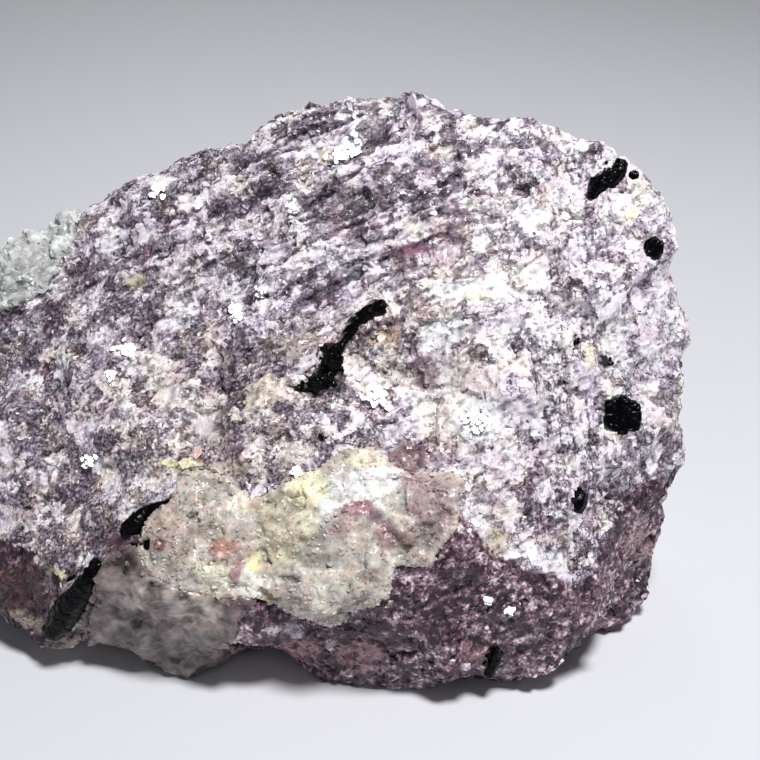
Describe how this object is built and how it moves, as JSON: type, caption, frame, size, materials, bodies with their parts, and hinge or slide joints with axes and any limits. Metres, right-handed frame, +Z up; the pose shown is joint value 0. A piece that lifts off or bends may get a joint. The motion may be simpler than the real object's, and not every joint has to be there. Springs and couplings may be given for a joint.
{
  "type": "raw lepidolite specimen",
  "caption": "Rough broken block of lilac lepidolite mica with patches of pale, smoky and white quartz and black tourmaline rods set in it, standing on a flat sole.",
  "frame": {"origin": "middle of the flat sole, under the middle of the bounding box", "axes": "+Z up, +X along the longest side with the hexagonal tourmaline at its end, the sloping front with the quartz lens faces -Y"},
  "size_m": [0.0926, 0.06, 0.0611],
  "materials": {
    "lepidolite": "sugary broken mica with a pearly sparkle",
    "feldspathic_quartz": "granular, slightly glassy",
    "smoky_quartz": "glassy, lobed fracture",
    "white_quartz": "milky, rough fracture",
    "tourmaline": "glossy, fluted along its length"
  },
  "bodies": {
    "root": {"lepidolite_mass": "lepidolite", "quartz_lens": "feldspathic_quartz", "smoky_quartz_foot": "smoky_quartz", "white_quartz_knob": "white_quartz", "tourmaline_rod_top_right": "tourmaline", "tourmaline_rod_centre": "tourmaline", "tourmaline_wedge_left": "tourmaline", "tourmaline_rod_lower_left": "tourmaline", "tourmaline_stub_right": "tourmaline", "tourmaline_sliver_front": "tourmaline", "tourmaline_hexagon_right": "tourmaline", "tourmaline_stub_right_edge": "tourmaline", "tourmaline_stub_top_right": "tourmaline", "tourmaline_stub_left": "tourmaline"}
  },
  "joints": []
}
